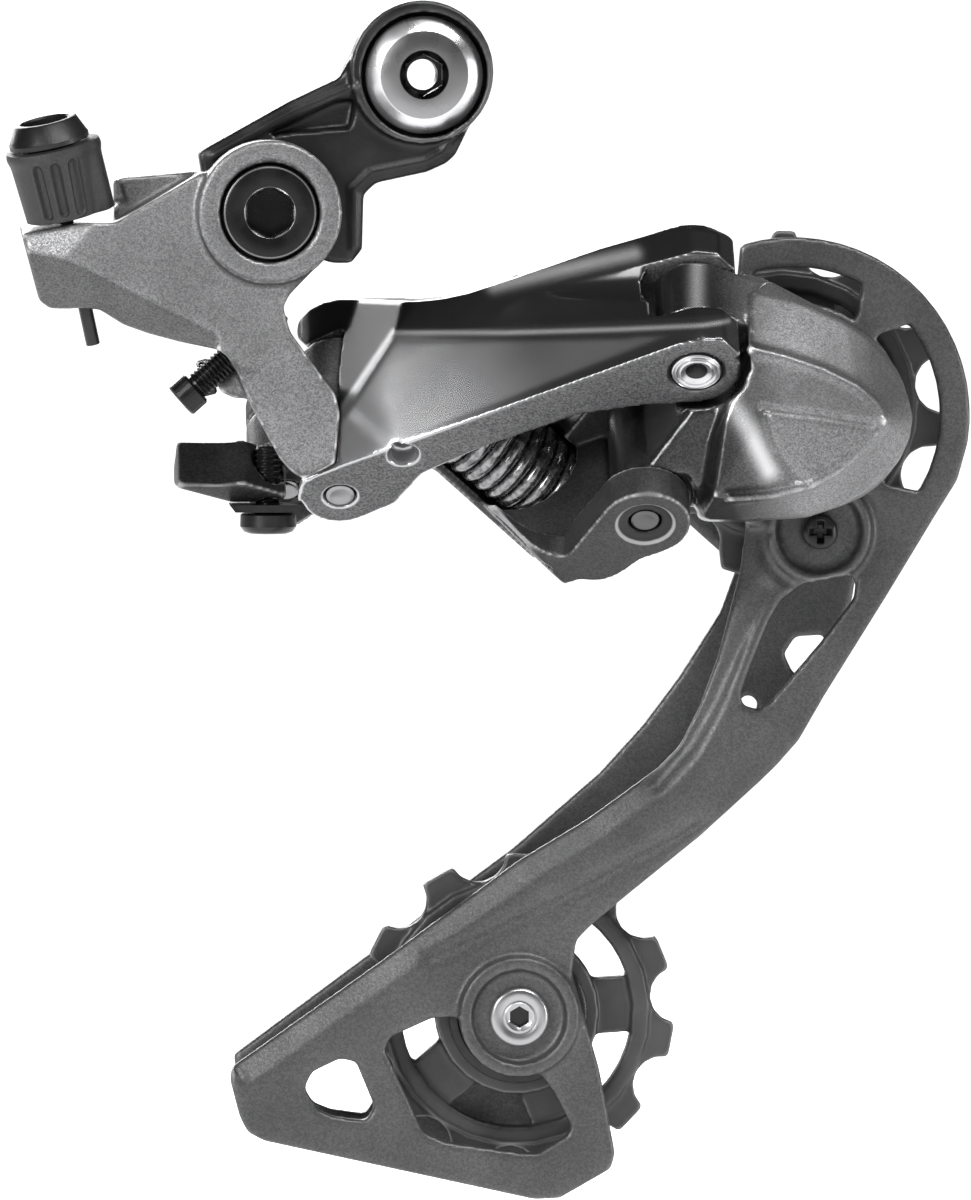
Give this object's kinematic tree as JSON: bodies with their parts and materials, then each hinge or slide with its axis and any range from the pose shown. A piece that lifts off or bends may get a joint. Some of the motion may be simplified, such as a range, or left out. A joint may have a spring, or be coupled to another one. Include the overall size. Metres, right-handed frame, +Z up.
{
  "type": "bicycle rear derailleur",
  "caption": "Bicycle rear derailleur with slant parallelogram links, bracket link, cable adjuster, long cage and two toothed pulleys",
  "frame": {"origin": "on the bracket link's flat inboard face that meets the frame hanger, 7.5 mm above the mounting bolt's axis", "axes": "+X forward along the bike, +Y inboard towards the wheel, parallel to the mounting bolt, +Z up"},
  "size_m": [0.1323, 0.0599, 0.1652],
  "materials": {
    "knuckle_paint": "mid grey metallic flake paint, satin",
    "link_gloss": "dark grey glossy lacquer over flake",
    "black_anodised": "satin black anodised forging",
    "cage_grey": "dark grey fine textured satin",
    "bright_steel": "turned bright steel",
    "dark_steel": "blackened steel, oiled",
    "pulley_resin": "moulded dark resin, satin",
    "knob_resin": "moulded matte dark resin",
    "bronze": "plain sintered bronze bush",
    "seal_rubber": "matte black rubber"
  },
  "bodies": {
    "bracket": {"bracket_link": "black_anodised", "mounting_bolt": "bright_steel", "b_axle_bolt": "dark_steel", "b_axle_bush": "bronze"},
    "knuckle": {"b_knuckle": "knuckle_paint", "adjuster_collar": "black_anodised", "cable_liner": "dark_steel", "rear_outer_bush": "bronze", "rear_inner_bush": "bronze"},
    "adjuster": {"adjuster_knob": "knob_resin"},
    "tension_screw": {"b_tension_screw": "dark_steel"},
    "high_screw": {"high_limit_screw": "dark_steel"},
    "low_screw": {"low_limit_screw": "dark_steel"},
    "outer_arm": {"outer_link": "link_gloss", "outer_link_rear_pin": "bright_steel", "outer_link_front_pin": "bright_steel"},
    "inner_arm": {"inner_link": "cage_grey", "inner_link_rear_pin": "bright_steel", "inner_link_front_pin": "bright_steel", "cable_clamp_bolt": "dark_steel", "cable_clamp_plate": "dark_steel", "return_spring": "dark_steel"},
    "carrier": {"p_knuckle": "knuckle_paint", "front_outer_bush": "bronze", "front_inner_bush": "bronze"},
    "cage": {"p_axle": "dark_steel", "p_spring": "dark_steel", "p_seal": "seal_rubber", "outer_cage_plate": "cage_grey", "inner_cage_plate": "cage_grey", "stop_pin": "dark_steel", "guide_bolt": "dark_steel", "guide_bush": "bright_steel", "guide_outer_cap": "dark_steel", "guide_inner_cap": "dark_steel", "tension_bolt": "bright_steel", "tension_bush": "bright_steel", "tension_outer_cap": "dark_steel", "tension_inner_cap": "dark_steel"},
    "guide_wheel": {"guide_pulley": "pulley_resin"},
    "tension_wheel": {"tension_pulley": "pulley_resin"}
  },
  "joints": [
    {"name": "b_pivot", "type": "hinge", "parent": "bracket", "child": "knuckle", "pos_m": [-0.0213, 0, -0.0259], "axis": [0, 1, 0], "range_deg": [0, 25]},
    {"name": "adjuster_turn", "type": "hinge", "parent": "knuckle", "child": "adjuster", "pos_m": [-0.0516, -0.0172, -0.0135], "axis": [-0.207, -0.15, 0.9668], "continuous": true},
    {"name": "tension_screw_turn", "type": "hinge", "parent": "knuckle", "child": "tension_screw", "pos_m": [-0.0334, -0.009, -0.052], "axis": [0.7486, 0, 0.663], "continuous": true},
    {"name": "high_screw_turn", "type": "hinge", "parent": "knuckle", "child": "high_screw", "pos_m": [-0.0286, -0.0022, -0.0487], "axis": [0.969, 0, 0.247], "continuous": true},
    {"name": "low_screw_turn", "type": "hinge", "parent": "knuckle", "child": "low_screw", "pos_m": [-0.0286, 0.0036, -0.0487], "axis": [0.969, 0, 0.247], "continuous": true},
    {"name": "outer_swing", "type": "hinge", "parent": "knuckle", "child": "outer_arm", "pos_m": [-0.0114, -0.0065, -0.065], "axis": [0, 0.7071, 0.7071], "range_deg": [0, 60]},
    {"name": "inner_swing", "type": "hinge", "parent": "knuckle", "child": "inner_arm", "pos_m": [-0.0182, 0.00481, -0.07631], "axis": [0, 0.7071, 0.7071], "range_deg": [0, 60], "deforming": ["return_spring"]},
    {"name": "carrier_swing", "type": "hinge", "parent": "outer_arm", "child": "carrier", "pos_m": [0.0362, -0.02404, -0.04746], "axis": [0, 0.7071, 0.7071], "range_deg": [-60, 0]},
    {"name": "cage_pivot", "type": "hinge", "parent": "carrier", "child": "cage", "pos_m": [0.0535, 0, -0.054], "axis": [0, -1, 0], "range_deg": [0, 110]},
    {"name": "guide_spin", "type": "hinge", "parent": "cage", "child": "guide_wheel", "pos_m": [0.0502, 0.011, -0.0533], "axis": [0, 1, 0], "continuous": true},
    {"name": "tension_spin", "type": "hinge", "parent": "cage", "child": "tension_wheel", "pos_m": [0.0135, 0.011, -0.1372], "axis": [0, 1, 0], "continuous": true}
  ],
  "couplings": [
    {"joint": "inner_swing", "follows": "outer_swing", "ratio": 1},
    {"joint": "carrier_swing", "follows": "outer_swing", "ratio": -1}
  ]
}
